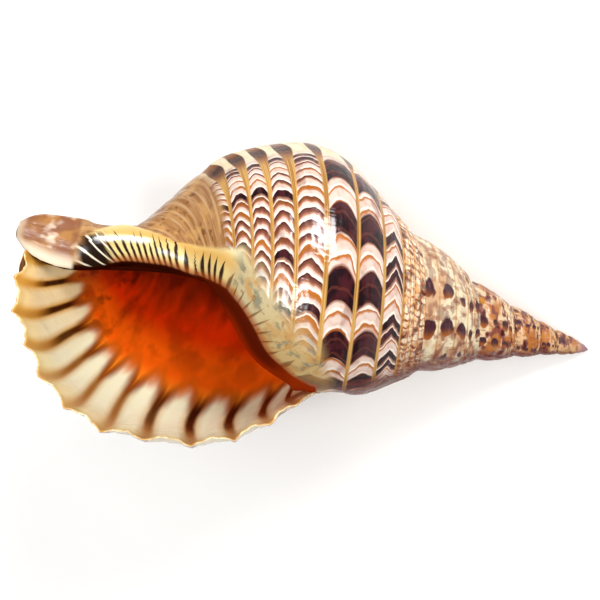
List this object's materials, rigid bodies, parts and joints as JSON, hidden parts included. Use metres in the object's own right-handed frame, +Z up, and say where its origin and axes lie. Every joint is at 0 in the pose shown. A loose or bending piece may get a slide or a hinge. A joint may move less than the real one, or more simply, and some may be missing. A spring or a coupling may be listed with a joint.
{
  "type": "triton shell",
  "caption": "Long spiral sea snail shell with a tall pointed spire, a swollen last turn and a wide flared mouth, lying on its side with the mouth up.",
  "frame": {"origin": "middle of the shell's footprint, on the surface it lies on", "axes": "+X along the shell's length towards the spire's tip, +Z up, with the mouth facing up"},
  "size_m": [0.2712, 0.159, 0.1533],
  "materials": {
    "shell": "glossy cream shell with orange and dark brown crescents and a deep orange mouth"
  },
  "bodies": {
    "root": {"shell": "shell"}
  },
  "joints": []
}
